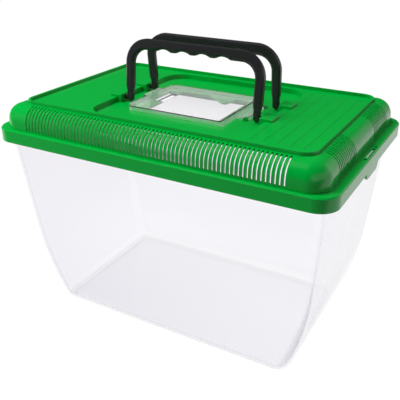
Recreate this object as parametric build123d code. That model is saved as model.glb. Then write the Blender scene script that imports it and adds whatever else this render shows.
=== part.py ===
from build123d import *
import os
from math import cos, radians, sin, sqrt, tan

# Plastic pet keeper: a clear tapered tank, a green lid with a slotted rolled rim,
# a clear feeding hatch and two black carrying handles. Millimetres, +Z up, X along
# the long side, origin under the middle of the tank.

# ---------------------------------------------------------------- driving dimensions
# Tank: straight drafted walls above the knee, a gentle bulge below it.
TANK_RIM_TOP = 218.0
TANK_WALL = 2.2
TANK_FLOOR = 2.6
KNEE_HEIGHT = 100.0
BULGE_LEVELS = (31.0, 54.0, 77.0)
END_HALF_AT_KNEE = 166.8
END_DRAFT = 4.3
END_BULGE = 300.0
SIDE_HALF_AT_KNEE = 98.9
SIDE_DRAFT = 6.0
SIDE_BULGE = 1800.0
TANK_CORNER = 13.0
TANK_BASE_EDGE = 9.0
TANK_BASE_STEPS = 4
TANK_FLANGE_LENGTH = 364.0
TANK_FLANGE_WIDTH = 233.0
TANK_FLANGE_CORNER = 17.0
TANK_FLANGE_THICK = 2.0
TANK_BEAD_HEIGHT = 5.0
TANK_BEAD_THICK = 1.6

# Lid: outer skirt, ledge and the rolled rim that rises from the ledge.
LID_WALL = 2.0
SKIRT_LENGTH = 370.0
SKIRT_WIDTH = 238.6
SKIRT_CORNER = 20.0
SKIRT_BOTTOM = 206.5
LEDGE_TOP = 220.3
SKIRT_EDGE = 1.2
ROLL_LENGTH = 351.2
ROLL_WIDTH = 230.0
ROLL_CORNER = 19.0
ROLL_RADIUS = 16.5
ROLL_STEPS = 4
ROLL_WALL = 2.3
ROLL_BEVEL = 9.0
PANEL_TOP = 244.8

# Stacking lip round the flat panel.
LIP_LENGTH = 317.2
LIP_WIDTH = 196.0
LIP_CORNER = 14.0
LIP_THICK = 2.4
LIP_TOP = 248.0

# Vent slots in the rolled rim.
SLOT_PITCH = 4.2
SLOT_WIDTH = 1.7
SLOT_BOTTOM = 222.0
SLOT_INSET = 2.6
LONG_SIDE_SLOTS = 68
END_GROUP_SLOTS = 12
END_GROUP_START = 32.0

# Sunken middle of the panel, with the hatch opening in its floor.
RECESS_LENGTH = 172.0
RECESS_WIDTH = 176.0
RECESS_CORNER = 23.0
RECESS_FLOOR = 239.5
OPENING_LEFT = -43.0
OPENING_RIGHT = 40.0
OPENING_FRONT = -40.0
OPENING_REAR = 34.5
OPENING_CORNER = 3.0
FINGER_NOTCH_X = (-56.5, -42.0)
FINGER_NOTCH_Y = (-10.0, 28.0)
TONGUE_TIP = (18.8, 14.5)
TONGUE_ROOT_LEFT = -9.0
TONGUE_ROOT_RIGHT = 23.0
TONGUE_ROUND = 3.5

# Raised ribs on the right part of the panel.
PANEL_RIB_FIRST = 93.3
PANEL_RIB_PITCH = 12.65
PANEL_RIB_COUNT = 5
PANEL_RIB_WIDTH = 1.2
PANEL_RIB_HEIGHT = 0.25
PANEL_RIB_LENGTH = 164.0

# Handles and the four bosses that hold their pins.
PIVOT_Y = 23.9
PIVOT_Z = 244.0
PIN_RADIUS = 2.5
BORE_RADIUS = 2.55
PIN_REACH = 88.5
BORE_END = 89.5
BOSS_INNER = 80.5
BOSS_OUTER = 94.0
BOSS_WIDTH = 17.0
BOSS_TOP = 248.0
BOSS_EDGE = 0.8
HANDLE_LEAN = 6.1
HANDLE_HEIGHT = 62.9
HANDLE_FOOT_HALF = 77.5
HANDLE_TOP_HALF = 78.7
LEG_WIDTH_FOOT = 6.9
LEG_WIDTH_TOP = 7.8
HANDLE_THICK = 6.0
HANDLE_OUTER_CORNER = 25.0
HANDLE_INNER_CORNER = 16.0
HANDLE_EDGE = 1.2
GRIP_HEIGHT = 9.1
FINGER_PITCH = 22.5
FINGER_COUNT = 4
FINGER_DEPTH = 2.5
FINGER_CHORD = 18.0
FINGER_BLEND = 3.0

# Hatch: a shallow cap with a sloped right wall, finger tab, slot and hinge leaf with its bar.
HATCH_LEFT = -62.0
HATCH_RIGHT = 50.5
HATCH_TOP_RIGHT = 47.5
HATCH_FRONT = -50.5
HATCH_REAR = 41.5
HATCH_UNDERSIDE = 239.8
HATCH_TOP = 244.5
HATCH_WALL = 1.3
HATCH_CORNER = 9.0
HATCH_SLOT_X = (-40.7, -33.2)
HATCH_SLOT_Y = (-22.0, 6.0)
TAB_LEFT = -67.0
TAB_Y = (-12.0, 22.0)
TAB_CORNER = 3.0
TAB_THICK = 1.6
HINGE_LEAF_TOP = 241.4
HINGE_X = 62.0
HINGE_Z = 241.0
HINGE_BAR_RADIUS = 1.2
HINGE_BORE_RADIUS = 1.26
HINGE_LEAF_HALF = 21.0
HINGE_BAR_HALF = 25.0
HINGE_CLIP_INNER = 21.4
HINGE_CLIP_OUTER = 26.0
HINGE_CLIP_RADIUS = 2.1

# Side latches: a flexing tab under each end of the skirt, behind a slit in the ledge.
LATCH_HALF = 20.0
LATCH_BOTTOM = 199.5
LATCH_CORNER = 6.0
LATCH_SLIT_HALF = 13.5
LATCH_SLIT_X = 181.6
LATCH_SLIT_WIDTH = 2.8
LATCH_NOTCH = 3.0
LATCH_NOTCH_Y = 18.5


def plate(length, width, corner, low, high):
    """A rounded rectangle centred on the origin, from one height to another."""
    outline = RectangleRounded(length, width, corner)
    return extrude(Plane.XY.offset(low) * outline, amount=high - low)


def block(x_range, y_range, z_range):
    """A plain block between two corners."""
    size = [high - low for low, high in (x_range, y_range, z_range)]
    centre = [(high + low) / 2 for low, high in (x_range, y_range, z_range)]
    return Pos(*centre) * Box(*size)


# ---------------------------------------------------------------------------- tank
def wall_half(half_at_knee, draft_deg, bulge, z):
    """Half the tank at a height: a straight drafted wall above the knee, bulged below it."""
    draft = radians(draft_deg)
    if z >= KNEE_HEIGHT:
        return half_at_knee + (z - KNEE_HEIGHT) * tan(draft)
    centre_in = half_at_knee - bulge * cos(draft)
    centre_up = KNEE_HEIGHT + bulge * sin(draft)
    return centre_in + sqrt(bulge**2 - (centre_up - z) ** 2)


def tank_section(z, inset):
    """The tank's rounded outline at a height, drawn in by an inset."""
    half_x = wall_half(END_HALF_AT_KNEE, END_DRAFT, END_BULGE, z) - inset
    half_y = wall_half(SIDE_HALF_AT_KNEE, SIDE_DRAFT, SIDE_BULGE, z) - inset
    return Plane.XY.offset(z) * RectangleRounded(2 * half_x, 2 * half_y, TANK_CORNER - inset)


def tank_form(inset, low, high, base_edge, base_steps):
    """The tank as a filled form: a rounded foot, the bulge in even steps, then straight walls."""
    outlines = []
    for step in range(base_steps + 1):
        turn = radians(90 * step / base_steps)
        outlines.append((low + base_edge * (1 - cos(turn)), inset + base_edge * (1 - sin(turn))))
    outlines += [(z, inset) for z in (*BULGE_LEVELS, KNEE_HEIGHT, high)]
    return loft([tank_section(z, drawn_in) for z, drawn_in in outlines], ruled=True)


def make_tank():
    """Clear tank, open at the top, with a turned-out rim that carries the lid."""
    outside = tank_form(0, 0, TANK_RIM_TOP, TANK_BASE_EDGE, TANK_BASE_STEPS)
    hollow_edge = TANK_BASE_EDGE - TANK_WALL
    hollow = tank_form(TANK_WALL, TANK_FLOOR, TANK_RIM_TOP + 1, hollow_edge, TANK_BASE_STEPS)
    flange_low = TANK_RIM_TOP - TANK_FLANGE_THICK
    flange = plate(
        TANK_FLANGE_LENGTH, TANK_FLANGE_WIDTH, TANK_FLANGE_CORNER, flange_low, TANK_RIM_TOP
    )
    bead_low = TANK_RIM_TOP - TANK_BEAD_HEIGHT
    bead = plate(TANK_FLANGE_LENGTH, TANK_FLANGE_WIDTH, TANK_FLANGE_CORNER, bead_low, flange_low)
    bead -= plate(
        TANK_FLANGE_LENGTH - 2 * TANK_BEAD_THICK,
        TANK_FLANGE_WIDTH - 2 * TANK_BEAD_THICK,
        TANK_FLANGE_CORNER - TANK_BEAD_THICK,
        bead_low,
        flange_low,
    )
    return outside + flange + bead - hollow


# ----------------------------------------------------------------------------- lid
def rolled_shell():
    """Skirt, ledge and rolled rim as one even wall, open below."""
    skirt = plate(SKIRT_LENGTH, SKIRT_WIDTH, SKIRT_CORNER, SKIRT_BOTTOM, LEDGE_TOP)
    skirt = chamfer(skirt.faces().sort_by(Axis.Z)[-1].edges(), SKIRT_EDGE)
    shell = skirt + roll_form()
    twice = 2 * LID_WALL
    shell -= plate(
        SKIRT_LENGTH - twice,
        SKIRT_WIDTH - twice,
        SKIRT_CORNER - LID_WALL,
        SKIRT_BOTTOM,
        LEDGE_TOP - LID_WALL,
    )
    return shell - roll_hollow()


def roll_form():
    """The rolled rim as a filled form: its quarter round is built from even flat steps."""
    outlines = [(0, LEDGE_TOP - LID_WALL)]
    for step in range(ROLL_STEPS + 1):
        turn = radians(90 * step / ROLL_STEPS)
        inset = ROLL_RADIUS * (1 - cos(turn))
        outlines.append((inset, PANEL_TOP - ROLL_RADIUS * (1 - sin(turn))))
    sections = [
        Plane.XY.offset(z)
        * RectangleRounded(ROLL_LENGTH - 2 * inset, ROLL_WIDTH - 2 * inset, ROLL_CORNER - inset)
        for inset, z in outlines
    ]
    return loft(sections, ruled=True)


def roll_hollow():
    """The space inside the rolled rim: its bevelled top edge follows the roll at a near even wall."""
    hollow = plate(
        ROLL_LENGTH - 2 * ROLL_WALL,
        ROLL_WIDTH - 2 * ROLL_WALL,
        ROLL_CORNER - ROLL_WALL,
        LEDGE_TOP - LID_WALL - 1,
        PANEL_TOP - ROLL_WALL,
    )
    return chamfer(hollow.faces().sort_by(Axis.Z)[-1].edges(), ROLL_BEVEL)


def vent_slots():
    """All the slots of the rolled rim, as cutters that stop short of the stacking lip."""
    top_inner_y = LIP_WIDTH / 2 + SLOT_INSET
    top_inner_x = LIP_LENGTH / 2 + SLOT_INSET
    depth_y = SKIRT_WIDTH / 2 - top_inner_y
    depth_x = SKIRT_LENGTH / 2 - top_inner_x
    height = PANEL_TOP + 1 - SLOT_BOTTOM
    middle_z = SLOT_BOTTOM + height / 2
    along_front = Box(SLOT_WIDTH, depth_y, height)
    along_end = Box(depth_x, SLOT_WIDTH, height)
    first_x = -SLOT_PITCH * (LONG_SIDE_SLOTS - 1) / 2
    slots = []
    for number in range(LONG_SIDE_SLOTS):
        for side in (-1, 1):
            place = (first_x + number * SLOT_PITCH, side * (top_inner_y + depth_y / 2), middle_z)
            slots.append(Pos(*place) * along_front)
    for number in range(END_GROUP_SLOTS):
        across = END_GROUP_START + number * SLOT_PITCH
        for y in (-across, across):
            for side in (-1, 1):
                slots.append(Pos(side * (top_inner_x + depth_x / 2), y, middle_z) * along_end)
    return slots


def hatch_opening():
    """The opening in the recess floor: a finger notch at its left and a tongue at its rear."""
    length = OPENING_RIGHT - OPENING_LEFT
    width = OPENING_REAR - OPENING_FRONT
    middle = ((OPENING_RIGHT + OPENING_LEFT) / 2, (OPENING_REAR + OPENING_FRONT) / 2)
    opening = Pos(*middle) * RectangleRounded(length, width, OPENING_CORNER)
    notch_x = sum(FINGER_NOTCH_X) / 2
    notch_y = sum(FINGER_NOTCH_Y) / 2
    opening += Pos(notch_x, notch_y) * Rectangle(
        FINGER_NOTCH_X[1] - FINGER_NOTCH_X[0], FINGER_NOTCH_Y[1] - FINGER_NOTCH_Y[0]
    )
    tongue = Polygon(
        (TONGUE_ROOT_LEFT, OPENING_REAR), TONGUE_TIP, (TONGUE_ROOT_RIGHT, OPENING_REAR), align=None
    )
    tongue = fillet(tongue.vertices().sort_by(Axis.Y)[0], TONGUE_ROUND)
    cutter = Plane.XY.offset(RECESS_FLOOR - LID_WALL - 1) * (opening - tongue)
    return extrude(cutter, amount=LID_WALL + 2)


def handle_bosses():
    """The four blocks that hold the handle pins, with a blind bore in each."""
    bosses = []
    bores = []
    for side in (-1, 1):
        for y in (-PIVOT_Y, PIVOT_Y):
            near, far = sorted((side * BOSS_INNER, side * BOSS_OUTER))
            boss = block(
                (near, far),
                (y - BOSS_WIDTH / 2, y + BOSS_WIDTH / 2),
                (RECESS_FLOOR - LID_WALL, BOSS_TOP),
            )
            bosses.append(chamfer(boss.faces().sort_by(Axis.Z)[-1].edges(), BOSS_EDGE))
            low, high = sorted((side * (BOSS_INNER - 1), side * BORE_END))
            bore = Cylinder(BORE_RADIUS, high - low, rotation=(0, 90, 0))
            bores.append(Pos((low + high) / 2, y, PIVOT_Z) * bore)
    return bosses, bores


def hinge_clips():
    """The two clips on the recess floor that hold the ends of the hatch's hinge bar."""
    clips = []
    for side in (-1, 1):
        low, high = sorted((side * HINGE_CLIP_INNER, side * HINGE_CLIP_OUTER))
        middle = (low + high) / 2
        head = Cylinder(HINGE_CLIP_RADIUS, high - low, rotation=(90, 0, 0))
        foot = block(
            (HINGE_X - HINGE_CLIP_RADIUS, HINGE_X + HINGE_CLIP_RADIUS),
            (low, high),
            (RECESS_FLOOR - LID_WALL / 2, HINGE_Z),
        )
        clip = Pos(HINGE_X, middle, HINGE_Z) * head + foot
        bore_end = side * (HINGE_BAR_HALF + 0.3)
        bore_low, bore_high = sorted((side * (HINGE_CLIP_INNER - 1), bore_end))
        bore = Cylinder(HINGE_BORE_RADIUS, bore_high - bore_low, rotation=(90, 0, 0))
        clips.append(clip - Pos(HINGE_X, (bore_low + bore_high) / 2, HINGE_Z) * bore)
    return clips


def latch_tab(side):
    """The tab that hangs below the skirt at one end."""
    outline = Pos(0, (LATCH_BOTTOM + SKIRT_BOTTOM) / 2 + 1) * Rectangle(
        2 * LATCH_HALF, SKIRT_BOTTOM - LATCH_BOTTOM + 2
    )
    outline = fillet(outline.vertices().sort_by(Axis.Y)[:2], LATCH_CORNER)
    near = SKIRT_LENGTH / 2 - LID_WALL
    tab = extrude(Plane.YZ.offset(near) * outline, amount=LID_WALL)
    return tab if side > 0 else mirror(tab, about=Plane.YZ)


def make_lid():
    """Green lid: skirt, slotted rolled rim, stacking lip, sunken middle and bosses."""
    lid = rolled_shell()
    lip = plate(LIP_LENGTH, LIP_WIDTH, LIP_CORNER, PANEL_TOP - LID_WALL / 2, LIP_TOP)
    lip -= plate(
        LIP_LENGTH - 2 * LIP_THICK,
        LIP_WIDTH - 2 * LIP_THICK,
        LIP_CORNER - LIP_THICK,
        PANEL_TOP - LID_WALL / 2,
        LIP_TOP,
    )
    twice = 2 * LID_WALL
    well = plate(
        RECESS_LENGTH + twice,
        RECESS_WIDTH + twice,
        RECESS_CORNER + LID_WALL,
        RECESS_FLOOR - LID_WALL,
        PANEL_TOP - LID_WALL / 2,
    )
    lid += [lip, well]
    lid -= plate(RECESS_LENGTH, RECESS_WIDTH, RECESS_CORNER, RECESS_FLOOR, LIP_TOP)
    ribs = []
    for number in range(PANEL_RIB_COUNT):
        x = PANEL_RIB_FIRST + number * PANEL_RIB_PITCH
        rib = Box(PANEL_RIB_WIDTH, PANEL_RIB_LENGTH, 2 * PANEL_RIB_HEIGHT)
        ribs.append(Pos(x, 0, PANEL_TOP) * rib)
    bosses, bores = handle_bosses()
    lid += ribs + bosses + hinge_clips() + [latch_tab(-1), latch_tab(1)]
    lid -= bores + [hatch_opening()]
    slits = []
    for side in (-1, 1):
        slit = Box(LATCH_SLIT_WIDTH, 2 * LATCH_SLIT_HALF, 3 * LID_WALL)
        slits.append(Pos(side * LATCH_SLIT_X, 0, LEDGE_TOP - LID_WALL / 2) * slit)
        for y in (-LATCH_NOTCH_Y, LATCH_NOTCH_Y):
            notch = Box(LATCH_SLIT_WIDTH, LATCH_NOTCH, 3 * LID_WALL)
            slits.append(Pos(side * LATCH_SLIT_X, y, LEDGE_TOP - LID_WALL / 2) * notch)
    return lid - slits - vent_slots()


# --------------------------------------------------------------------------- hatch
def hatch_form(inset, low, high):
    """The hatch as a filled form: left corners rounded, right wall sloped, drawn in by an inset."""
    slope = (HATCH_RIGHT - HATCH_TOP_RIGHT) / (HATCH_TOP - HATCH_UNDERSIDE)
    profile = Polygon(
        (HATCH_LEFT + inset, low),
        (HATCH_RIGHT - inset, low),
        (HATCH_RIGHT - inset - slope * (high - low), high),
        (HATCH_LEFT + inset, high),
        align=None,
    )
    rear = Plane.XZ.offset(inset - HATCH_REAR)
    form = extrude(rear * profile, amount=HATCH_REAR - HATCH_FRONT - 2 * inset)
    return fillet(form.edges().filter_by(Axis.Z), HATCH_CORNER - inset)


def make_hatch():
    """Clear hatch: a shallow cap over the opening, with tab, slot, hinge leaf and bar."""
    cap = hatch_form(0, HATCH_UNDERSIDE, HATCH_TOP)
    hollow = hatch_form(HATCH_WALL, HATCH_UNDERSIDE, HATCH_TOP - HATCH_WALL)
    tab_right = HATCH_LEFT + HATCH_WALL / 2
    tab_length = tab_right + TAB_CORNER - TAB_LEFT
    tab = Pos(TAB_LEFT + tab_length / 2, sum(TAB_Y) / 2) * plate(
        tab_length, TAB_Y[1] - TAB_Y[0], TAB_CORNER, HATCH_TOP - TAB_THICK, HATCH_TOP
    )
    leaf = block(
        (HATCH_RIGHT - HATCH_WALL, HINGE_X),
        (-HINGE_LEAF_HALF, HINGE_LEAF_HALF),
        (HATCH_UNDERSIDE, HINGE_LEAF_TOP),
    )
    bar = Pos(HINGE_X, 0, HINGE_Z) * Cylinder(
        HINGE_BAR_RADIUS, 2 * HINGE_BAR_HALF, rotation=(90, 0, 0)
    )
    slot = block(HATCH_SLOT_X, HATCH_SLOT_Y, (HATCH_UNDERSIDE - 1, HATCH_TOP + 1))
    return cap - hollow + tab + leaf + bar - slot


# ------------------------------------------------------------------------- handles
def handle_outline():
    """The handle seen from the front, with its pivot line at height zero."""
    outer = Polygon(
        (-HANDLE_FOOT_HALF, 0),
        (HANDLE_FOOT_HALF, 0),
        (HANDLE_TOP_HALF, HANDLE_HEIGHT),
        (-HANDLE_TOP_HALF, HANDLE_HEIGHT),
        align=None,
    )
    outer = fillet(outer.vertices().sort_by(Axis.Y)[-2:], HANDLE_OUTER_CORNER)
    foot_inner = HANDLE_FOOT_HALF - LEG_WIDTH_FOOT
    top_inner = HANDLE_TOP_HALF - LEG_WIDTH_TOP
    grip_low = HANDLE_HEIGHT - GRIP_HEIGHT
    inner = Polygon(
        (-foot_inner, 0), (foot_inner, 0), (top_inner, grip_low), (-top_inner, grip_low), align=None
    )
    inner = fillet(inner.vertices().sort_by(Axis.Y)[-2:], HANDLE_INNER_CORNER)
    outline = outer - inner
    finger_radius = (FINGER_CHORD**2 / 4 + FINGER_DEPTH**2) / (2 * FINGER_DEPTH)
    for number in range(FINGER_COUNT):
        x = (number - (FINGER_COUNT - 1) / 2) * FINGER_PITCH
        finger = Circle(finger_radius)
        outline -= Pos(x, grip_low + FINGER_DEPTH - finger_radius) * finger
    cusps = [
        vertex
        for vertex in outline.vertices()
        if abs(vertex.Y - grip_low) < 0.01 and abs(vertex.X) < FINGER_COUNT * FINGER_PITCH / 2
    ]
    outline = fillet(cusps, FINGER_BLEND)
    foot_centre = HANDLE_FOOT_HALF - LEG_WIDTH_FOOT / 2
    for side in (-1, 1):
        outline += Pos(side * foot_centre, 0) * Circle(LEG_WIDTH_FOOT / 2)
    return outline


def make_handle():
    """Front handle: one moulding with its two pins, leaning towards the middle."""
    half = HANDLE_THICK / 2
    body = extrude(Plane.XZ * handle_outline(), amount=half, both=True)
    rims = [edge for edge in body.edges() if abs(abs(edge.center().Y) - half) < 0.001]
    body = chamfer(rims, HANDLE_EDGE)
    pin_start = HANDLE_FOOT_HALF - LEG_WIDTH_FOOT / 2
    for side in (-1, 1):
        low, high = sorted((side * pin_start, side * PIN_REACH))
        pin = Cylinder(PIN_RADIUS, high - low, rotation=(0, 90, 0))
        body += Pos((low + high) / 2, 0, 0) * pin
    return Pos(0, -PIVOT_Y, PIVOT_Z) * Rot(-HANDLE_LEAN, 0, 0) * body


def save(node, shape):
    """Write one node and print its size."""
    shape.label = node
    export_step(shape, f"parts/{node}.step")
    size = shape.bounding_box().size
    print(f"{node}: {size.X:.1f} x {size.Y:.1f} x {size.Z:.1f} mm, {len(shape.faces())} faces")


os.makedirs("parts", exist_ok=True)
front_handle = make_handle()
save("tank", make_tank())
save("lid", make_lid())
save("hatch", make_hatch())
save("front_handle", front_handle)
save("rear_handle", Rot(0, 0, 180) * front_handle)
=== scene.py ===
"""Looks of a plastic pet keeper: a clear tank under a green vented lid with a hatch and two handles."""

import logging
import math
from dataclasses import dataclass
from enum import Enum
from typing import Callable, Iterable

import bmesh
import bpy
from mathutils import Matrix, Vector


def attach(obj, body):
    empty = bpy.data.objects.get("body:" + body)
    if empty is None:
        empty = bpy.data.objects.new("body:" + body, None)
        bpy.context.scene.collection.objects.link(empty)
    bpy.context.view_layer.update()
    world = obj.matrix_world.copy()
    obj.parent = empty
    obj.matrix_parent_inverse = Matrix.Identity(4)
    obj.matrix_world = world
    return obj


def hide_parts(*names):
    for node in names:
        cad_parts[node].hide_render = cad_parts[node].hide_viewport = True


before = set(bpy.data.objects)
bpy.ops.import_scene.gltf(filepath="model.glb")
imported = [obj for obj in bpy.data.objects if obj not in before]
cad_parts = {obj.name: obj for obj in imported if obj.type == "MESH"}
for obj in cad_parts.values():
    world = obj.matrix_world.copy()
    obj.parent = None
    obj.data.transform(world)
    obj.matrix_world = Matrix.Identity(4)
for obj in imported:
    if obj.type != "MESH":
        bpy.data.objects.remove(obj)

LOG = logging.getLogger("pet_keeper")
MM = 0.001
NEAR = 0.02 * MM


class Slot(Enum):
    """The record's material slots."""

    TANK = "clear_plastic"
    LID = "green_plastic"
    HATCH = "clear_plastic_hatch"
    HANDLE = "black_plastic"


class HandleSide(Enum):
    """Which of the two handles a piece is."""

    FRONT = "front"
    REAR = "rear"

    @property
    def node(self) -> str:
        """The handle's CAD node, which is also its body."""
        return f"{self.value}_handle"


# ------------------------------------------------------------------ modelling bench
class Bench:
    """Small hand tools around Blender's operators."""

    @staticmethod
    def clear_selection() -> None:
        """Leave edit mode and deselect every object."""
        if bpy.context.object and bpy.context.object.mode != "OBJECT":
            bpy.ops.object.mode_set(mode="OBJECT")
        bpy.ops.object.select_all(action="DESELECT")

    @staticmethod
    def take(piece: bpy.types.Object) -> None:
        """Make one piece the selected and active object."""
        Bench.clear_selection()
        piece.select_set(True)
        bpy.context.view_layer.objects.active = piece

    @staticmethod
    def edit(piece: bpy.types.Object) -> None:
        """Enter edit mode on a piece with nothing selected."""
        Bench.take(piece)
        bpy.ops.object.mode_set(mode="EDIT")
        bpy.ops.mesh.select_all(action="DESELECT")

    @staticmethod
    def pick_verts(piece: bpy.types.Object, test: Callable[[Vector], bool]) -> int:
        """Select the vertices of a piece in edit mode that pass a test.

        Args:
            piece: The mesh object in edit mode.
            test: A test of a vertex's place.

        Returns:
            How many vertices are now selected.
        """
        bpy.ops.mesh.select_mode(type="VERT")
        mesh = bmesh.from_edit_mesh(piece.data)
        for vert in mesh.verts:
            vert.select_set(test(vert.co))
        mesh.select_flush_mode()
        bmesh.update_edit_mesh(piece.data)
        return sum(vert.select for vert in mesh.verts)

    @staticmethod
    def pick_faces(piece: bpy.types.Object, test: Callable[[Vector, Vector], bool]) -> int:
        """Select the faces of a piece in edit mode that pass a test.

        Args:
            piece: The mesh object in edit mode.
            test: A test of a face's centre and normal.

        Returns:
            How many faces are now selected.
        """
        bpy.ops.mesh.select_mode(type="FACE")
        mesh = bmesh.from_edit_mesh(piece.data)
        for face in mesh.faces:
            face.select_set(test(face.calc_center_median(), face.normal))
        bmesh.update_edit_mesh(piece.data)
        return sum(face.select for face in mesh.faces)

    @staticmethod
    def modify(piece: bpy.types.Object, kind: str, **settings: object) -> None:
        """Add a modifier to a piece, set it and apply it.

        Args:
            piece: The mesh object.
            kind: The modifier's type.
            **settings: Values of the modifier's own settings.
        """
        Bench.take(piece)
        modifier = piece.modifiers.new(kind.title(), kind)
        for name, value in settings.items():
            setattr(modifier, name, value)
        bpy.ops.object.modifier_apply(modifier=modifier.name)

    @staticmethod
    def smooth(piece: bpy.types.Object, angle: float) -> None:
        """Shade a piece smooth, except over edges sharper than an angle in degrees."""
        Bench.take(piece)
        bpy.ops.object.shade_smooth_by_angle(angle=math.radians(angle))

    @staticmethod
    def smooth_flat_faces(piece: bpy.types.Object, angle: float) -> None:
        """Shade a piece smooth, with its large faces kept flat right up to their rounded edges."""
        Bench.smooth(piece, angle)
        Bench.modify(piece, "WEIGHTED_NORMAL", keep_sharp=True)

    @staticmethod
    def outward(piece: bpy.types.Object) -> None:
        """Merge a piece's doubles and turn its faces outwards."""
        Bench.edit(piece)
        bpy.ops.mesh.select_all(action="SELECT")
        bpy.ops.mesh.remove_doubles(threshold=NEAR / 2)
        bpy.ops.mesh.normals_make_consistent(inside=False)
        bpy.ops.object.mode_set(mode="OBJECT")

    @staticmethod
    def copy_of_node(node: str, name: str) -> bpy.types.Object:
        """Copy a CAD node's mesh, merge its loose triangles and clean its flat faces.

        Args:
            node: The CAD node's name.
            name: The new piece's name.

        Returns:
            The new piece, an object of its own at the origin.
        """
        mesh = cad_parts[node].data.copy()
        mesh.materials.clear()
        piece = bpy.data.objects.new(name, mesh)
        bpy.context.scene.collection.objects.link(piece)
        Bench.edit(piece)
        bpy.ops.mesh.select_all(action="SELECT")
        bpy.ops.mesh.customdata_custom_splitnormals_clear()
        bpy.ops.mesh.remove_doubles(threshold=NEAR / 4)
        bpy.ops.mesh.dissolve_limited(angle_limit=math.radians(0.5))
        bpy.ops.object.mode_set(mode="OBJECT")
        return piece

    @staticmethod
    def join(pieces: Iterable[bpy.types.Object]) -> bpy.types.Object:
        """Join pieces into the first one.

        Args:
            pieces: The objects, the first of which stays.

        Returns:
            The joined object.
        """
        pieces = list(pieces)
        Bench.take(pieces[0])
        for piece in pieces[1:]:
            piece.select_set(True)
        bpy.ops.object.join()
        return pieces[0]


# --------------------------------------------------------------------------- finishes
class Shading:
    """Builds the shader node groups and holds small node helpers."""

    @staticmethod
    def tint_colour(
        nodes: bpy.types.Nodes,
        links: bpy.types.NodeLinks,
        shader: bpy.types.Node,
        mask: bpy.types.NodeSocket,
        tint: tuple[float, float, float],
    ) -> None:
        """Multiply a shader's linked colour by a tint where a mask says so.

        Args:
            nodes: The material's nodes.
            links: The material's links.
            shader: The shader, its colour already linked.
            mask: A socket, 1 where the tint is full.
            tint: The tint.
        """
        shade = nodes.new("ShaderNodeMix")
        shade.data_type = "RGBA"
        shade.blend_type = "MULTIPLY"
        before, by = (socket for socket in shade.inputs if socket.type == "RGBA")
        after = next(socket for socket in shade.outputs if socket.type == "RGBA")
        by.default_value = (*tint, 1.0)
        links.new(mask, shade.inputs["Factor"])
        links.new(shader.inputs["Base Color"].links[0].from_socket, before)
        links.new(after, shader.inputs["Base Color"])

    @staticmethod
    def moulded_surface() -> bpy.types.NodeTree:
        """The surface of a moulded plastic piece: colour drift, gloss drift and fine grain.

        Returns:
            The node group, built once.
        """
        name = "moulded_surface"
        if name in bpy.data.node_groups:
            return bpy.data.node_groups[name]
        group = bpy.data.node_groups.new(name, "ShaderNodeTree")
        face = group.interface
        face.new_socket("Color", in_out="INPUT", socket_type="NodeSocketColor")
        for label, default in (
            ("Roughness", 0.35),
            ("Color Drift", 0.04),
            ("Gloss Drift", 0.05),
            ("Grain Size", 1600.0),
            ("Grain Height", 0.00002),
            ("Flow Height", 0.0001),
        ):
            socket = face.new_socket(label, in_out="INPUT", socket_type="NodeSocketFloat")
            socket.default_value = default
        face.new_socket("Color", in_out="OUTPUT", socket_type="NodeSocketColor")
        face.new_socket("Roughness", in_out="OUTPUT", socket_type="NodeSocketFloat")
        face.new_socket("Normal", in_out="OUTPUT", socket_type="NodeSocketVector")
        nodes, links = group.nodes, group.links
        given = nodes.new("NodeGroupInput")
        result = nodes.new("NodeGroupOutput")
        place = nodes.new("ShaderNodeTexCoord")

        drift = nodes.new("ShaderNodeTexNoise")
        drift.inputs["Scale"].default_value = 14.0
        drift.inputs["Detail"].default_value = 3.0
        links.new(place.outputs["Object"], drift.inputs["Vector"])
        signed = nodes.new("ShaderNodeMath")
        signed.operation = "SUBTRACT"
        signed.inputs[1].default_value = 0.5
        links.new(drift.outputs["Fac"], signed.inputs[0])

        brighten = nodes.new("ShaderNodeMath")
        brighten.operation = "MULTIPLY_ADD"
        brighten.inputs[2].default_value = 1.0
        links.new(signed.outputs[0], brighten.inputs[0])
        links.new(given.outputs["Color Drift"], brighten.inputs[1])
        tone = nodes.new("ShaderNodeVectorMath")
        tone.operation = "SCALE"
        links.new(given.outputs["Color"], tone.inputs[0])
        links.new(brighten.outputs[0], tone.inputs["Scale"])
        links.new(tone.outputs[0], result.inputs["Color"])

        gloss = nodes.new("ShaderNodeMath")
        gloss.operation = "MULTIPLY_ADD"
        links.new(signed.outputs[0], gloss.inputs[0])
        links.new(given.outputs["Gloss Drift"], gloss.inputs[1])
        links.new(given.outputs["Roughness"], gloss.inputs[2])
        links.new(gloss.outputs[0], result.inputs["Roughness"])

        flow = nodes.new("ShaderNodeTexNoise")
        flow.inputs["Scale"].default_value = 22.0
        flow.inputs["Detail"].default_value = 1.0
        links.new(place.outputs["Object"], flow.inputs["Vector"])
        sink = nodes.new("ShaderNodeBump")
        links.new(given.outputs["Flow Height"], sink.inputs["Distance"])
        links.new(flow.outputs["Fac"], sink.inputs["Height"])

        grain = nodes.new("ShaderNodeTexNoise")
        grain.inputs["Detail"].default_value = 2.0
        links.new(place.outputs["Object"], grain.inputs["Vector"])
        links.new(given.outputs["Grain Size"], grain.inputs["Scale"])
        bump = nodes.new("ShaderNodeBump")
        links.new(given.outputs["Grain Height"], bump.inputs["Distance"])
        links.new(grain.outputs["Fac"], bump.inputs["Height"])
        links.new(sink.outputs["Normal"], bump.inputs["Normal"])
        links.new(bump.outputs["Normal"], result.inputs["Normal"])
        return group


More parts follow.
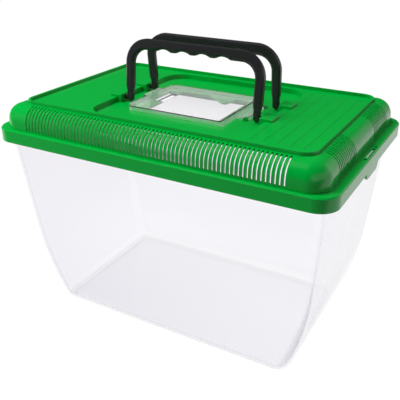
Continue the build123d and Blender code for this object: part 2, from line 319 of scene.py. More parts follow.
@dataclass(frozen=True)
class MouldedFinish:
    """An opaque moulded plastic."""

    name: str
    colour: tuple[float, float, float]
    roughness: float
    specular: float
    colour_drift: float
    grain_size: float
    grain_height: float
    flow_height: float

    def material(self) -> bpy.types.Material:
        """Build the material.

        Returns:
            The new material.
        """
        material = bpy.data.materials.new(self.name)
        material.use_nodes = True
        nodes, links = material.node_tree.nodes, material.node_tree.links
        shader = nodes["Principled BSDF"]
        shader.inputs["Specular IOR Level"].default_value = self.specular
        surface = nodes.new("ShaderNodeGroup")
        surface.node_tree = Shading.moulded_surface()
        surface.inputs["Color"].default_value = (*self.colour, 1.0)
        surface.inputs["Roughness"].default_value = self.roughness
        surface.inputs["Color Drift"].default_value = self.colour_drift
        surface.inputs["Grain Size"].default_value = self.grain_size
        surface.inputs["Grain Height"].default_value = self.grain_height
        surface.inputs["Flow Height"].default_value = self.flow_height
        links.new(surface.outputs["Color"], shader.inputs["Base Color"])
        links.new(surface.outputs["Roughness"], shader.inputs["Roughness"])
        links.new(surface.outputs["Normal"], shader.inputs["Normal"])
        material.diffuse_color = (*self.colour, 1.0)
        return material


@dataclass(frozen=True)
class GlanceTint:
    """Painted shade that darkens a clear wall as it turns away from the eye, standing in for the darker
    surroundings it reflects at a glance.
    """

    span: tuple[float, float]
    tint: tuple[float, float, float]

    def dress(
        self, nodes: bpy.types.Nodes, links: bpy.types.NodeLinks, shader: bpy.types.Node
    ) -> None:
        """Darken the shader's colour with painted shade where the surface is seen at a glance.

        Args:
            nodes: The material's nodes.
            links: The material's links.
            shader: The shader, its colour already linked.
        """
        glancing = nodes.new("ShaderNodeLayerWeight")
        glancing.inputs["Blend"].default_value = 0.5
        turned = nodes.new("ShaderNodeMapRange")
        turned.inputs["From Min"].default_value = self.span[0]
        turned.inputs["From Max"].default_value = self.span[1]
        links.new(glancing.outputs["Facing"], turned.inputs["Value"])
        # painted shade: the colour is multiplied by the tint where the wall is seen at a glance
        Shading.tint_colour(nodes, links, shader, turned.outputs["Result"], self.tint)


@dataclass(frozen=True)
class FrostedFoot:
    """The frosted lower walls of a clear cap, under a painted dark line where its top plate ends, which
    stands in for the dark refraction line at that edge.
    """

    frost_top: float
    line_top: float
    roughness: float
    line_tint: tuple[float, float, float]
    steepest_top: float = 0.6

    def dress(
        self, nodes: bpy.types.Nodes, links: bpy.types.NodeLinks, shader: bpy.types.Node
    ) -> None:
        """Put the frosting and the painted dark line between the surface nodes and the shader.

        Args:
            nodes: The material's nodes.
            links: The material's links.
            shader: The shader, its colour and roughness already linked.
        """
        place = nodes.new("ShaderNodeTexCoord")
        parts = nodes.new("ShaderNodeSeparateXYZ")
        links.new(place.outputs["Object"], parts.inputs[0])
        facing = nodes.new("ShaderNodeSeparateXYZ")
        links.new(place.outputs["Normal"], facing.inputs[0])
        steep = nodes.new("ShaderNodeMath")
        steep.operation = "ABSOLUTE"
        links.new(facing.outputs["Z"], steep.inputs[0])
        upright = nodes.new("ShaderNodeMath")
        upright.operation = "LESS_THAN"
        upright.inputs[1].default_value = self.steepest_top
        links.new(steep.outputs[0], upright.inputs[0])
        levels = []
        for height in (self.frost_top, self.line_top):
            below = nodes.new("ShaderNodeMath")
            below.operation = "LESS_THAN"
            below.inputs[1].default_value = height
            links.new(parts.outputs["Z"], below.inputs[0])
            wall = nodes.new("ShaderNodeMath")
            wall.operation = "MULTIPLY"
            links.new(below.outputs[0], wall.inputs[0])
            links.new(upright.outputs[0], wall.inputs[1])
            levels.append(wall.outputs[0])
        frost = nodes.new("ShaderNodeMix")
        frost.inputs["B"].default_value = self.roughness
        links.new(levels[0], frost.inputs["Factor"])
        links.new(shader.inputs["Roughness"].links[0].from_socket, frost.inputs["A"])
        links.new(frost.outputs["Result"], shader.inputs["Roughness"])
        # painted shade: a dark line on the band between the frosted foot and the top plate
        between = nodes.new("ShaderNodeMath")
        between.operation = "SUBTRACT"
        links.new(levels[1], between.inputs[0])
        links.new(levels[0], between.inputs[1])
        Shading.tint_colour(nodes, links, shader, between.outputs[0], self.line_tint)


@dataclass(frozen=True)
class FloorRing:
    """A painted highlight round a clear floor: painted shade greys the walls and the flat floor, so that
    only the rounded edge between them stays bright.
    """

    band_top: float
    band_blend: float
    wall_tint: tuple[float, float, float]
    line: tuple[float, float]
    line_tint: tuple[float, float, float]
    flat_floor: float = 0.97

    def dress(
        self, nodes: bpy.types.Nodes, links: bpy.types.NodeLinks, shader: bpy.types.Node
    ) -> None:
        """Grey the walls and the floor with painted shade, and paint a dark line where the floor's step
        is.

        Args:
            nodes: The material's nodes.
            links: The material's links.
            shader: The shader, its colour already linked.
        """
        place = nodes.new("ShaderNodeTexCoord")
        parts = nodes.new("ShaderNodeSeparateXYZ")
        links.new(place.outputs["Object"], parts.inputs[0])
        facing = nodes.new("ShaderNodeSeparateXYZ")
        links.new(place.outputs["Normal"], facing.inputs[0])
        level = nodes.new("ShaderNodeMath")
        level.operation = "ABSOLUTE"
        links.new(facing.outputs["Z"], level.inputs[0])
        flat = nodes.new("ShaderNodeMath")
        flat.operation = "GREATER_THAN"
        flat.inputs[1].default_value = self.flat_floor
        links.new(level.outputs[0], flat.inputs[0])
        wall = nodes.new("ShaderNodeMapRange")
        wall.interpolation_type = "SMOOTHSTEP"
        wall.inputs["From Min"].default_value = self.band_top - self.band_blend
        wall.inputs["From Max"].default_value = self.band_top
        links.new(parts.outputs["Z"], wall.inputs["Value"])
        painted_shade_mask = nodes.new("ShaderNodeMath")
        painted_shade_mask.operation = "MAXIMUM"
        links.new(flat.outputs[0], painted_shade_mask.inputs[0])
        links.new(wall.outputs["Result"], painted_shade_mask.inputs[1])
        middle = sum(self.line) / 2
        step = nodes.new("ShaderNodeMath")
        step.operation = "COMPARE"
        step.inputs[1].default_value = middle
        step.inputs[2].default_value = self.line[1] - middle
        links.new(parts.outputs["Z"], step.inputs[0])
        # painted shade on the walls and flat floor leaves the rounded edge as a painted highlight; the
        # next line paints a dark step line
        Shading.tint_colour(nodes, links, shader, painted_shade_mask.outputs[0], self.wall_tint)
        Shading.tint_colour(nodes, links, shader, step.outputs[0], self.line_tint)


@dataclass(frozen=True)
class ClearFinish:
    """A clear moulded plastic that lets lamp light through to what is behind it."""

    name: str
    tint: tuple[float, float, float]
    shadow_tint: tuple[float, float, float]
    roughness: float
    index: float
    clearness: float
    depth_colour: tuple[float, float, float]
    depth_density: float
    flow_height: float
    trims: tuple[GlanceTint | FrostedFoot | FloorRing, ...]
    deepest: float = 3.5

    def material(self) -> bpy.types.Material:
        """Build the material.

        Returns:
            The new material.
        """
        material = bpy.data.materials.new(self.name)
        material.use_nodes = True
        nodes, links = material.node_tree.nodes, material.node_tree.links
        shader = nodes["Principled BSDF"]
        shader.inputs["Transmission Weight"].default_value = self.clearness
        shader.inputs["IOR"].default_value = self.index
        surface = nodes.new("ShaderNodeGroup")
        surface.node_tree = Shading.moulded_surface()
        surface.inputs["Color"].default_value = (*self.tint, 1.0)
        surface.inputs["Roughness"].default_value = self.roughness
        surface.inputs["Color Drift"].default_value = 0.01
        surface.inputs["Gloss Drift"].default_value = self.roughness / 2
        surface.inputs["Grain Height"].default_value = 0.0
        surface.inputs["Flow Height"].default_value = self.flow_height
        links.new(surface.outputs["Color"], shader.inputs["Base Color"])
        links.new(surface.outputs["Roughness"], shader.inputs["Roughness"])
        links.new(surface.outputs["Normal"], shader.inputs["Normal"])
        # the trims lay painted shade, a painted highlight and painted dark lines on the colour
        for trim in self.trims:
            trim.dress(nodes, links, shader)

        light = nodes.new("ShaderNodeLightPath")
        trapped = nodes.new("ShaderNodeMath")
        trapped.operation = "GREATER_THAN"
        trapped.inputs[1].default_value = self.deepest
        links.new(light.outputs["Ray Depth"], trapped.inputs[0])
        lamplight = nodes.new("ShaderNodeMath")
        lamplight.operation = "MAXIMUM"
        links.new(light.outputs["Is Shadow Ray"], lamplight.inputs[0])
        links.new(light.outputs["Is Diffuse Ray"], lamplight.inputs[1])
        passing = nodes.new("ShaderNodeMath")
        passing.operation = "MAXIMUM"
        links.new(lamplight.outputs[0], passing.inputs[0])
        links.new(trapped.outputs[0], passing.inputs[1])
        clear = nodes.new("ShaderNodeBsdfTransparent")
        clear.inputs["Color"].default_value = (*self.shadow_tint, 1.0)
        mix = nodes.new("ShaderNodeMixShader")
        links.new(passing.outputs[0], mix.inputs["Fac"])
        links.new(shader.outputs["BSDF"], mix.inputs[1])
        links.new(clear.outputs["BSDF"], mix.inputs[2])
        output = nodes["Material Output"]
        links.new(mix.outputs["Shader"], output.inputs["Surface"])
        depth = nodes.new("ShaderNodeVolumeAbsorption")
        depth.inputs["Color"].default_value = (*self.depth_colour, 1.0)
        depth.inputs["Density"].default_value = self.depth_density
        links.new(depth.outputs["Volume"], output.inputs["Volume"])
        return material


GREEN_PLASTIC = MouldedFinish(
    name="green_moulded_plastic",
    colour=(0.0, 0.4, 0.044),
    roughness=0.19,
    specular=0.45,
    colour_drift=0.06,
    grain_size=1500.0,
    grain_height=0.000008,
    flow_height=0.0002,
)
BLACK_PLASTIC = MouldedFinish(
    name="black_moulded_plastic",
    colour=(0.026, 0.025, 0.028),
    roughness=0.3,
    specular=0.3,
    colour_drift=0.1,
    grain_size=1300.0,
    grain_height=0.00003,
    flow_height=0.0001,
)
TANK_PLASTIC = ClearFinish(
    name="clear_tank_plastic",
    tint=(0.995, 0.993, 0.998),
    shadow_tint=(0.97, 0.97, 0.98),
    roughness=0.015,
    index=1.45,
    clearness=1.0,
    depth_colour=(0.5, 0.48, 0.62),
    depth_density=5.0,
    flow_height=0.0002,
    trims=(
        # painted shade: grey on walls seen at a slant, darker at the silhouettes
        GlanceTint(span=(0.3, 0.5), tint=(0.83, 0.825, 0.855)),
        GlanceTint(span=(0.8, 0.98), tint=(0.6, 0.6, 0.64)),
        # painted highlight on the floor's rounded edge, made by painted shade on the walls and floor, and
        # a painted dark step line
        FloorRing(
            band_top=12 * MM,
            band_blend=2.5 * MM,
            wall_tint=(0.973, 0.969, 0.981),
            line=(2.8 * MM, 3.6 * MM),
            line_tint=(0.8, 0.79, 0.85),
        ),
    ),
)
HATCH_PLASTIC = ClearFinish(
    name="clear_hatch_plastic",
    tint=(0.995, 0.99, 1.0),
    shadow_tint=(0.95, 0.95, 0.96),
    roughness=0.02,
    index=1.25,
    clearness=0.88,
    depth_colour=(0.55, 0.54, 0.6),
    depth_density=14.0,
    flow_height=0.0001,
    trims=(
        # painted shade: near-black edges where the cap is seen at a glance
        GlanceTint(span=(0.8, 0.98), tint=(0.12, 0.12, 0.12)),
        # frosted lower walls, under a painted dark line at the top plate's edge
        FrostedFoot(
            frost_top=243.2 * MM,
            line_top=244.35 * MM,
            roughness=0.5,
            line_tint=(0.05, 0.045, 0.05),
        ),
    ),
)


# ------------------------------------------------------------------------- the pieces
@dataclass
class Piece:
    """What every piece shares: a body to ride on, a node to stand for and a slot, which is not used."""

    name: str
    body: str
    node: str
    slot: Slot

    def settle(self, piece: bpy.types.Object, material: bpy.types.Material) -> bpy.types.Object:
        """Dress a finished piece, hang it on its body and hide its CAD node.

        Args:
            piece: The finished mesh object.
            material: The material it wears.

        Returns:
            The same object.
        """
        piece.name = self.name
        piece.data.name = self.name
        piece.data.materials.clear()
        piece.data.materials.append(material)
        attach(piece, self.body)
        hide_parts(self.node)
        LOG.info("%s: %d faces", self.name, len(piece.data.polygons))
        return piece


@dataclass
class ClearTank(Piece):
    """The clear tank: tapered walls with a soft knee, rounded corners and a turned-out rim."""

    wall: float = 2.2 * MM
    floor_extra: float = 0.4 * MM
    floor_step: float = 1.1 * MM
    step_width: float = 0.7 * MM
    knee: float = 100 * MM
    end_half: float = 166.8 * MM
    end_draft: float = 4.3
    end_bulge: float = 300 * MM
    side_half: float = 98.9 * MM
    side_draft: float = 6.0
    side_bulge: float = 1800 * MM
    corner: float = 13 * MM
    corner_steps: int = 10
    base_round: float = 9 * MM
    base_steps: int = 8
    levels: tuple[float, ...] = (16, 28, 40, 52, 64, 76, 88, 100, 130, 160, 190, 215.8)
    rim_half: tuple[float, float] = (179.8 * MM, 114.3 * MM)
    rim_drop: float = 2.8 * MM

    def wall_half(self, half: float, draft_deg: float, bulge: float, z: float) -> float:
        """Half the outside width at a height, bulged below the knee.

        Args:
            half: Half the width at the knee.
            draft_deg: The straight wall's lean above the knee, in degrees.
            bulge: The radius of the bulge below the knee.
            z: The height.

        Returns:
            Half the width at that height.
        """
        draft = math.radians(draft_deg)
        if z >= self.knee:
            return half + (z - self.knee) * math.tan(draft)
        centre_in = half - bulge * math.cos(draft)
        centre_up = self.knee + bulge * math.sin(draft)
        return centre_in + math.sqrt(bulge**2 - (centre_up - z) ** 2)

    def halves(self, z: float) -> tuple[float, float]:
        """Half the outside length and width at a height."""
        return (
            self.wall_half(self.end_half, self.end_draft, self.end_bulge, z),
            self.wall_half(self.side_half, self.side_draft, self.side_bulge, z),
        )

    def raise_ring(
        self, piece: bpy.types.Object, rise: float, spread: tuple[float, float]
    ) -> None:
        """Extrude the selected cap by one ring and spread its four corners.

        Args:
            piece: The tank in edit mode, its cap face selected.
            rise: How far the ring goes up.
            spread: How far each corner moves outwards along X and Y.
        """
        bpy.ops.mesh.extrude_region_move(TRANSFORM_OT_translate={"value": (0, 0, rise)})
        mesh = bmesh.from_edit_mesh(piece.data)
        ring = [vert for vert in mesh.verts if vert.select]
        for vert in ring:
            vert.co.x += math.copysign(spread[0], vert.co.x)
            vert.co.y += math.copysign(spread[1], vert.co.y)
        bmesh.update_edit_mesh(piece.data)

    def build(self) -> bpy.types.Object:
        """Build the tank's wall.

        Returns:
            The finished piece.
        """
        Bench.clear_selection()
        half_x, half_y = self.halves(0)
        bpy.ops.mesh.primitive_plane_add(size=2)
        piece = bpy.context.object
        bpy.ops.object.mode_set(mode="EDIT")
        bpy.ops.transform.resize(value=(half_x, half_y, 1))
        bpy.ops.mesh.bevel(
            offset=self.corner, segments=self.corner_steps, affect="VERTICES"
        )
        bpy.ops.mesh.select_mode(type="FACE")
        bpy.ops.mesh.select_all(action="SELECT")
        z = 0.0
        for level in self.levels:
            next_x, next_y = self.halves(level * MM)
            self.raise_ring(piece, level * MM - z, (next_x - half_x, next_y - half_y))
            half_x, half_y, z = next_x, next_y, level * MM
        self.raise_ring(piece, 0, (self.rim_half[0] - half_x, self.rim_half[1] - half_y))
        self.raise_ring(piece, -self.rim_drop, (0, 0))
        bpy.ops.mesh.delete(type="ONLY_FACE")

        bpy.ops.mesh.select_mode(type="EDGE")
        mesh = bmesh.from_edit_mesh(piece.data)
        for edge in mesh.edges:
            edge.select_set(all(vert.co.z < NEAR for vert in edge.verts))
        bmesh.update_edit_mesh(piece.data)
        bpy.ops.mesh.bevel(
            offset=self.base_round, segments=self.base_steps, affect="EDGES", clamp_overlap=True
        )
        bpy.ops.object.mode_set(mode="OBJECT")
        Bench.outward(piece)
        Bench.edit(piece)
        if Bench.pick_faces(piece, lambda place, normal: place.z < NEAR and normal.z > 0):
            bpy.ops.mesh.select_all(action="SELECT")
            bpy.ops.mesh.flip_normals()
        bpy.ops.object.mode_set(mode="OBJECT")
        Bench.modify(piece, "SOLIDIFY", thickness=self.wall, offset=-1, use_even_offset=True)
        Bench.edit(piece)
        Bench.pick_faces(
            piece, lambda place, normal: normal.z > 0.99 and place.z < 2 * self.wall
        )
        bpy.ops.transform.translate(value=(0, 0, self.floor_extra))
        bpy.ops.mesh.inset(thickness=self.step_width)
        bpy.ops.transform.translate(value=(0, 0, self.floor_step))
        bpy.ops.object.mode_set(mode="OBJECT")
        Bench.modify(
            piece, "BEVEL", width=0.5 * MM, segments=2, limit_method="ANGLE", angle_limit=math.radians(50)
        )
        Bench.smooth(piece, 40)
        return self.settle(piece, TANK_PLASTIC.material())


@dataclass
class VentedLid(Piece):
    """The green lid: its slotted rolled rim, stacking lip, sunken middle and bosses."""

    edge_round: float = 0.28 * MM
    smooth_angle: float = 32.0
    rim_half: tuple[float, float] = (175.6 * MM, 115 * MM)
    rim_corner: float = 19 * MM
    roll_radius: float = 16.5 * MM
    roll_centre: float = 228.3 * MM
    roll_steps: int = 4
    roll_wall: float = 2.3 * MM
    hollow_bevel: float = 9.0 * MM
    slot_start: float = 100.6 * MM
    slot_end: float = 222 * MM
    rib_round: float = 0.75 * MM
    rib_segments: int = 3

    def outline_gap(self, place: Vector, inset: float) -> tuple[float, Vector]:
        """Find how far a place is from the rim's rounded outline, drawn in by an inset.

        Args:
            place: The place to test.
            inset: How far the outline is drawn in.

        Returns:
            The distance, positive outside, and the outline's outward direction there.
        """
        past = [
            abs(place[axis]) - (self.rim_half[axis] - self.rim_corner) for axis in (0, 1)
        ]
        radius = self.rim_corner - inset
        if min(past) > 0:
            length = math.hypot(*past)
            facing = Vector((past[0] / length, past[1] / length, 0))
        else:
            length = max(past)
            facing = Vector((1, 0, 0)) if past[0] > past[1] else Vector((0, 1, 0))
        facing.x = math.copysign(facing.x, place.x)
        facing.y = math.copysign(facing.y, place.y)
        return length - radius, facing

    def stepped_inset(self, z: float) -> float:
        """How far the stepped roll stands in from the rim's outline at a height."""
        turn_step = math.pi / 2 / self.roll_steps
        rise = (z - self.roll_centre) / self.roll_radius
        for step in range(self.roll_steps):
            low, high = step * turn_step, (step + 1) * turn_step
            if rise <= math.sin(high) + NEAR:
                share = (rise - math.sin(low)) / (math.sin(high) - math.sin(low))
                across = math.cos(low) + share * (math.cos(high) - math.cos(low))
                return self.roll_radius * (1 - across)
        return self.roll_radius

    def hollow_inset(self, z: float) -> float:
        """How far the bevelled hollow inside the roll stands in from the rim's outline at a height."""
        bevel_start = self.roll_centre + self.roll_radius - self.roll_wall - self.hollow_bevel
        return self.roll_wall + max(0.0, z - bevel_start)

    def round_roll(self, piece: bpy.types.Object) -> None:
        """Cut the stepped roll at more heights and push its outside and inside to the true round.

        Args:
            piece: The lid, in object mode.
        """
        turn_step = math.pi / 2 / self.roll_steps
        heights = [
            self.roll_centre + self.roll_radius * math.sin(half_step / 2 * turn_step)
            for half_step in range(1, 2 * self.roll_steps)
        ]
        last = (self.roll_steps - 1) * turn_step
        slot_in = (self.rim_half[1] - self.slot_start) / self.roll_radius - (1 - math.cos(last))
        slot_share = slot_in / math.cos(last)
        slot_rise = math.sin(last) + slot_share * (1 - math.sin(last))
        heights.append(self.roll_centre + self.roll_radius * slot_rise)
        Bench.edit(piece)
        for height in heights:
            bpy.ops.mesh.select_all(action="SELECT")
            bpy.ops.mesh.bisect(plane_co=(0, 0, height), plane_no=(0, 0, 1))
        mesh = bmesh.from_edit_mesh(piece.data)
        panel = self.roll_centre + self.roll_radius
        surfaces = (
            (panel, self.roll_radius, self.stepped_inset),
            (panel - self.roll_wall, self.roll_radius - self.roll_wall, self.hollow_inset),
        )
        for vert in mesh.verts:
            for top, radius, inset_at in surfaces:
                if not self.roll_centre < vert.co.z < top - NEAR / 2:
                    continue
                inset = inset_at(vert.co.z)
                gap, facing = self.outline_gap(vert.co, inset)
                if abs(gap) > 3 * NEAR:
                    continue
                across, rise = self.roll_radius - inset, vert.co.z - self.roll_centre
                grow = radius / math.hypot(across, rise)
                vert.co += facing * across * (grow - 1)
                vert.co.z += rise * (grow - 1)
                break
        bmesh.update_edit_mesh(piece.data)
        bpy.ops.object.mode_set(mode="OBJECT")

    def on_roll(self, place: Vector) -> bool:
        """Tell whether a place lies on the outside of the rolled rim."""
        if place.z < self.roll_centre:
            return abs(self.outline_gap(place, 0)[0]) < 5 * NEAR
        gap, _ = self.outline_gap(place, 0)
        across = self.roll_radius + gap
        if across < 0:
            return False
        return abs(math.hypot(across, place.z - self.roll_centre) - self.roll_radius) < 5 * NEAR

    def round_ribs(self, piece: bpy.types.Object) -> int:
        """Round the outer edges of the slots, which leaves each rib between them crowned.

        Args:
            piece: The lid, in object mode.

        Returns:
            How many edges were rounded.
        """
        Bench.edit(piece)
        bpy.ops.mesh.select_mode(type="EDGE")
        mesh = bmesh.from_edit_mesh(piece.data)
        sharp = math.radians(50)
        panel = self.roll_centre + self.roll_radius
        for edge in mesh.edges:
            inside = all(
                self.slot_end - NEAR < vert.co.z < panel - NEAR and self.on_roll(vert.co)
                for vert in edge.verts
            )
            edge.select_set(inside and edge.calc_face_angle(0) > sharp)
        count = sum(edge.select for edge in mesh.edges)
        bmesh.update_edit_mesh(piece.data)
        bpy.ops.mesh.bevel(
            offset=self.rib_round, segments=self.rib_segments, affect="EDGES", clamp_overlap=True
        )
        bpy.ops.object.mode_set(mode="OBJECT")
        return count

    def build(self) -> bpy.types.Object:
        """Build the lid from the node's own form, with a true round roll and crowned ribs.

        Returns:
            The finished piece.
        """
        piece = Bench.copy_of_node(self.node, self.name)
        self.round_roll(piece)
        LOG.info("slot edges rounded: %d", self.round_ribs(piece))
        Bench.modify(
            piece,
            "BEVEL",
            width=self.edge_round,
            segments=2,
            limit_method="ANGLE",
            angle_limit=math.radians(35),
            use_clamp_overlap=True,
            harden_normals=False,
        )
        Bench.smooth_flat_faces(piece, self.smooth_angle)
        return self.settle(piece, GREEN_PLASTIC.material())


@dataclass
class FeedingHatch(Piece):
    """The clear feeding hatch: a shallow cap with a finger tab, a slot and a hinge bar."""

    edge_round: float = 0.25 * MM

    def build(self) -> bpy.types.Object:
        """Build the hatch from the node's own form, with every edge rounded.

        Returns:
            The finished piece.
        """
        piece = Bench.copy_of_node(self.node, self.name)
        Bench.modify(
            piece,
            "BEVEL",
            width=self.edge_round,
            segments=2,
            limit_method="ANGLE",
            angle_limit=math.radians(35),
        )
        Bench.smooth_flat_faces(piece, 32)
        return self.settle(piece, HATCH_PLASTIC.material())


@dataclass
class CarryHandle(Piece):
    """A black carrying handle with finger hollows under its grip."""

    edge_round: float = 0.45 * MM
    bar_growth: float = 1.2 * MM
    growth_start: float = 252 * MM
    growth_full: float = 256.5 * MM
    side_growth: float = 0.4

    def fill_out(self, piece: bpy.types.Object) -> None:
        """Thicken the bars above the bosses to both sides and the grip downwards, its top kept.

        Args:
            piece: The handle, in object mode.
        """
        Bench.edit(piece)
        for height in (self.growth_start, self.growth_full):
            bpy.ops.mesh.select_all(action="SELECT")
            bpy.ops.mesh.bisect(plane_co=(0, 0, height), plane_no=(0, 0, 1))
        mesh = bmesh.from_edit_mesh(piece.data)
        mesh.normal_update()
        top = max(vert.co.z for vert in mesh.verts)
        facings = [(vert, vert.normal.copy()) for vert in mesh.verts]
        for vert, facing in facings:
            share = (vert.co.z - self.growth_start) / (self.growth_full - self.growth_start)
            growth = self.bar_growth * min(1.0, max(0.0, share)) * (1 - facing.z)
            vert.co += growth * Vector((facing.x, facing.y * self.side_growth, facing.z))
            vert.co.z = min(vert.co.z, top)
        bmesh.update_edit_mesh(piece.data)
        bpy.ops.object.mode_set(mode="OBJECT")

    def build(self) -> bpy.types.Object:
        """Build the handle from the node's own form, with its edges rounded.

        Returns:
            The finished piece.
        """
        piece = Bench.copy_of_node(self.node, self.name)
        self.fill_out(piece)
        Bench.modify(
            piece,
            "BEVEL",
            width=self.edge_round,
            segments=2,
            limit_method="ANGLE",
            angle_limit=math.radians(30),
        )
        Bench.smooth_flat_faces(piece, 32)
        return self.settle(piece, BLACK_PLASTIC.material())


# -------------------------------------------------------------------------- the studio
@dataclass
class Studio:
    """A pale sweep of floor under large soft lamps, with a white surround."""

    floor_half: float = 8.0
    floor_colour: tuple[float, float, float] = (0.42, 0.42, 0.42)
    floor_white: float = 0.93
    floor_glow: float = 1.06
    near_side: tuple[float, float] = (-0.42, -0.2)
    near_dark: float = 0.12
    ambient: tuple[float, float] = (0.05, 0.95)
    ambient_span: tuple[float, float] = (-0.35, 0.8)
    ceiling: float = 0.02
    backdrop_top: tuple[float, float] = (0.3, 0.7)
    bright_side: tuple[float, float] = (0.12, 0.55)

    def floor(self) -> bpy.types.Object:
        """Lay the floor.

        Returns:
            The floor.
        """
        Bench.clear_selection()
        bpy.ops.mesh.primitive_plane_add(size=2 * self.floor_half)
        floor = bpy.context.object
        floor.name = "studio_floor"
        material = bpy.data.materials.new("studio_floor")
        material.use_nodes = True
        nodes, links = material.node_tree.nodes, material.node_tree.links
        shader = nodes["Principled BSDF"]
        shader.inputs["Base Color"].default_value = (*self.floor_colour, 1.0)
        shader.inputs["Roughness"].default_value = 0.9
        shader.inputs["Specular IOR Level"].default_value = 0.0
        place = nodes.new("ShaderNodeTexCoord")
        parts = nodes.new("ShaderNodeSeparateXYZ")
        links.new(place.outputs["Object"], parts.inputs[0])
        near = self.fade(
            nodes, links, parts.outputs["Y"], self.near_side, (self.near_dark, self.floor_glow)
        )
        level = nodes.new("ShaderNodeMix")
        level.inputs["A"].default_value = self.floor_glow
        links.new(self.mirrored_rays(nodes, links), level.inputs["Factor"])
        links.new(near, level.inputs["B"])
        glow = nodes.new("ShaderNodeEmission")
        links.new(level.outputs["Result"], glow.inputs["Strength"])
        share = nodes.new("ShaderNodeMath")
        share.operation = "MULTIPLY"
        share.inputs[1].default_value = self.floor_white
        links.new(self.seen_rays(nodes, links), share.inputs[0])
        mix = nodes.new("ShaderNodeMixShader")
        links.new(share.outputs[0], mix.inputs["Fac"])
        links.new(shader.outputs["BSDF"], mix.inputs[1])
        links.new(glow.outputs["Emission"], mix.inputs[2])
        links.new(mix.outputs["Shader"], nodes["Material Output"].inputs["Surface"])
        floor.data.materials.append(material)
        return floor

    @staticmethod
    def seen_rays(nodes: bpy.types.Nodes, links: bpy.types.NodeLinks) -> bpy.types.NodeSocket:
        """Add nodes that tell the rays that look at the background from those that gather light.

        Args:
            nodes: The nodes to add to.
            links: The links to add to.

        Returns:
            A socket that is 1 for camera, glossy and transmission rays.
        """
        light = nodes.new("ShaderNodeLightPath")
        first = nodes.new("ShaderNodeMath")
        first.operation = "MAXIMUM"
        links.new(light.outputs["Is Camera Ray"], first.inputs[0])
        links.new(light.outputs["Is Glossy Ray"], first.inputs[1])
        both = nodes.new("ShaderNodeMath")
        both.operation = "MAXIMUM"
        links.new(first.outputs[0], both.inputs[0])
        links.new(light.outputs["Is Transmission Ray"], both.inputs[1])
        return both.outputs[0]

    @staticmethod
    def mirrored_rays(nodes: bpy.types.Nodes, links: bpy.types.NodeLinks) -> bpy.types.NodeSocket:
        """Add nodes that tell the rays that glossy surfaces send back from those let through.

        Args:
            nodes: The nodes to add to.
            links: The links to add to.

        Returns:
            A socket that is 1 for reflected rays.
        """
        light = nodes.new("ShaderNodeLightPath")
        sent_back = nodes.new("ShaderNodeMath")
        sent_back.operation = "SUBTRACT"
        sent_back.use_clamp = True
        links.new(light.outputs["Is Glossy Ray"], sent_back.inputs[0])
        links.new(light.outputs["Is Transmission Ray"], sent_back.inputs[1])
        return sent_back.outputs[0]

    @staticmethod
    def fade(
        nodes: bpy.types.Nodes,
        links: bpy.types.NodeLinks,
        place: bpy.types.NodeSocket,
        span: tuple[float, float],
        levels: tuple[float, float],
    ) -> bpy.types.NodeSocket:
        """Add a soft step from one level to another.

        Args:
            nodes: The nodes to add to.
            links: The links to add to.
            place: The value that the step follows.
            span: Where the step starts and ends.
            levels: The level before and after it.

        Returns:
            The level.
        """
        step = nodes.new("ShaderNodeMapRange")
        step.interpolation_type = "SMOOTHSTEP"
        for label, value in zip(("From Min", "From Max", "To Min", "To Max"), (*span, *levels)):
            step.inputs[label].default_value = value
        links.new(place, step.inputs["Value"])
        return step.outputs["Result"]

    def surround(self) -> None:
        """Set the world: white where it is looked at, and bright on one side only in reflections."""
        world = bpy.data.worlds.new("studio_surround")
        bpy.context.scene.world = world
        world.use_nodes = True
        nodes, links = world.node_tree.nodes, world.node_tree.links
        background = nodes["Background"]
        background.inputs["Color"].default_value = (1.0, 1.0, 1.0, 1.0)
        heading = nodes.new("ShaderNodeTexCoord")
        parts = nodes.new("ShaderNodeSeparateXYZ")
        links.new(heading.outputs["Generated"], parts.inputs[0])
        wall = self.fade(nodes, links, parts.outputs["Z"], self.backdrop_top, (1.0, self.ceiling))
        side = self.fade(nodes, links, parts.outputs["X"], self.bright_side, (self.ceiling, 1.0))
        lit = nodes.new("ShaderNodeMath")
        lit.operation = "MULTIPLY"
        links.new(wall, lit.inputs[0])
        links.new(side, lit.inputs[1])
        light = nodes.new("ShaderNodeLightPath")
        ambient = self.fade(nodes, links, parts.outputs["Y"], self.ambient_span, self.ambient)
        level = nodes.new("ShaderNodeMix")
        level.inputs["B"].default_value = 1.0
        links.new(ambient, level.inputs["A"])
        links.new(light.outputs["Is Camera Ray"], level.inputs["Factor"])
        strength = level.outputs["Result"]
        for chosen, value in (
            (light.outputs["Is Transmission Ray"], wall),
            (self.mirrored_rays(nodes, links), lit.outputs[0]),
        ):
            swap = nodes.new("ShaderNodeMix")
            links.new(chosen, swap.inputs["Factor"])
            links.new(strength, swap.inputs["A"])
            links.new(value, swap.inputs["B"])
            strength = swap.outputs["Result"]
        links.new(strength, background.inputs["Strength"])

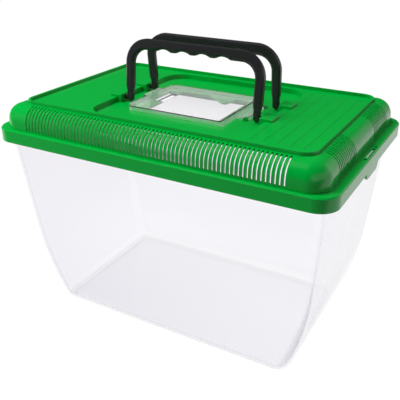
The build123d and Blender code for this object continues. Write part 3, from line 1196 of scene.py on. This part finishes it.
    def lamp(
        self,
        name: str,
        place: tuple[float, float, float],
        size: float,
        power: float,
    ) -> None:
        """Hang one large soft lamp, aimed at the keeper.

        Args:
            name: The lamp's name.
            place: Where it hangs.
            size: Its side length.
            power: Its power in watts.
        """
        data = bpy.data.lights.new(name, "AREA")
        data.size = size
        data.energy = power
        lamp = bpy.data.objects.new(name, data)
        lamp.location = place
        aim = Vector((0, 0, 0.12)) - Vector(place)
        lamp.rotation_euler = aim.to_track_quat("-Z", "Y").to_euler()
        lamp.visible_glossy = False
        lamp.visible_transmission = False
        bpy.context.scene.collection.objects.link(lamp)

    def build(self) -> None:
        """Build the floor, the surround and the lamps."""
        self.floor()
        self.surround()
        self.lamp("key_lamp", (-1.0, -0.5, 2.4), 1.6, 66)
        self.lamp("left_lamp", (-0.6, -0.5, 0.4), 0.4, 2.4)
        view = bpy.context.scene.view_settings
        view.view_transform = "Standard"
        LOG.info("studio ready")


@dataclass
class Viewpoint:
    """The photograph's viewing angle."""

    place: tuple[float, float, float] = (0.2990, -0.5371, 0.4272)
    tilt: float = 64.06
    turn: float = 29.29
    lens: float = 54.045
    sensor: float = 36.0

    def build(self) -> None:
        """Set up the camera."""
        data = bpy.data.cameras.new("viewpoint")
        data.lens = self.lens
        data.sensor_width = self.sensor
        data.sensor_fit = "HORIZONTAL"
        data.dof.use_dof = False
        camera = bpy.data.objects.new("viewpoint", data)
        camera.location = self.place
        camera.rotation_euler = (math.radians(self.tilt), 0, math.radians(self.turn))
        bpy.context.scene.collection.objects.link(camera)
        bpy.context.scene.camera = camera
        LOG.info("camera ready")


def main() -> None:
    """Build the pieces in order, then the studio and the camera."""
    logging.basicConfig(level=logging.INFO, format="%(name)s %(message)s")
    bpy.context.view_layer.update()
    ClearTank("clear_tank", "tank", "tank", Slot.TANK).build()
    VentedLid("vented_lid", "lid", "lid", Slot.LID).build()
    FeedingHatch("feeding_hatch", "hatch", "hatch", Slot.HATCH).build()
    for side in HandleSide:
        CarryHandle(f"{side.node}_grip", side.node, side.node, Slot.HANDLE).build()
    Studio().build()
    Viewpoint().build()
    bpy.context.view_layer.update()


if __name__ == "__main__":
    main()
